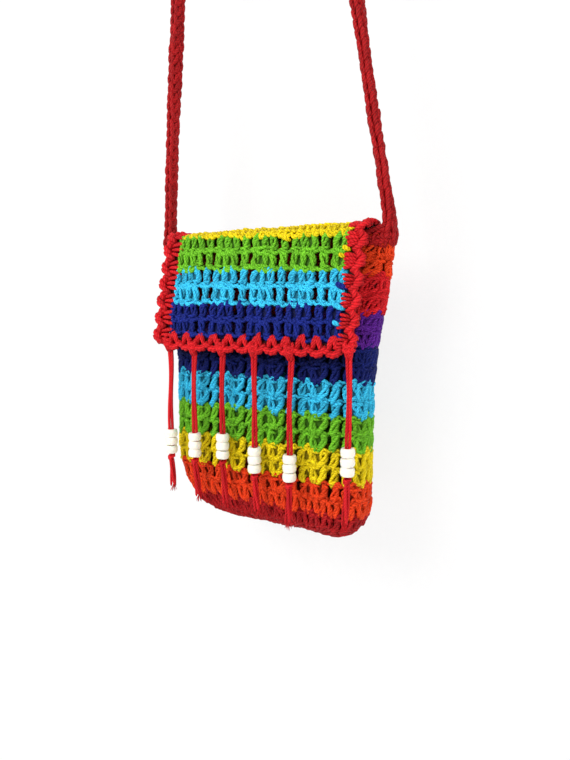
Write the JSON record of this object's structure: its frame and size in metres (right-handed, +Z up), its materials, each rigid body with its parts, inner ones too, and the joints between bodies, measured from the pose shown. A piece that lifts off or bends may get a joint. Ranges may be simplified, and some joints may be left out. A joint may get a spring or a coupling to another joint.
{
  "type": "crochet crossbody bag",
  "caption": "Small rainbow crocheted crossbody bag with a filet flap, red shell edging, beaded tassels and a long crocheted strap, hanging as if from a hook.",
  "frame": {"origin": "where a hook carries the strap, on the inner side of the strap's topmost bend", "axes": "+X along the bag's width, -Y out of its front, +Z up"},
  "size_m": [0.184, 0.0484, 0.8013],
  "materials": {
    "yarn_dark_red": "dark red cotton yarn, plied",
    "yarn_red": "bright red cotton yarn, plied",
    "yarn_orange": "orange cotton yarn, plied",
    "yarn_yellow": "yellow cotton yarn, plied",
    "yarn_green": "leaf green cotton yarn, plied",
    "yarn_sky": "sky blue cotton yarn, plied",
    "yarn_navy": "navy cotton yarn, plied",
    "yarn_purple": "purple cotton yarn, plied",
    "bead_cream": "cream plastic barrel beads, satin gloss"
  },
  "bodies": {
    "root": {"pouch": "yarn_sky", "flap": "yarn_green", "flap_edging": "yarn_red", "strap": "yarn_dark_red", "tassel_cord_1": "yarn_red", "tassel_cord_2": "yarn_red", "tassel_cord_3": "yarn_red", "tassel_cord_4": "yarn_red", "tassel_cord_5": "yarn_red", "tassel_cord_6": "yarn_red", "bead_1_top": "bead_cream", "bead_1_middle": "bead_cream", "bead_1_bottom": "bead_cream", "bead_2_top": "bead_cream", "bead_2_middle": "bead_cream", "bead_2_bottom": "bead_cream", "bead_3_top": "bead_cream", "bead_3_middle": "bead_cream", "bead_3_bottom": "bead_cream", "bead_4_top": "bead_cream", "bead_4_middle": "bead_cream", "bead_4_bottom": "bead_cream", "bead_5_top": "bead_cream", "bead_5_middle": "bead_cream", "bead_5_bottom": "bead_cream", "bead_6_top": "bead_cream", "bead_6_middle": "bead_cream", "bead_6_bottom": "bead_cream"}
  },
  "joints": []
}
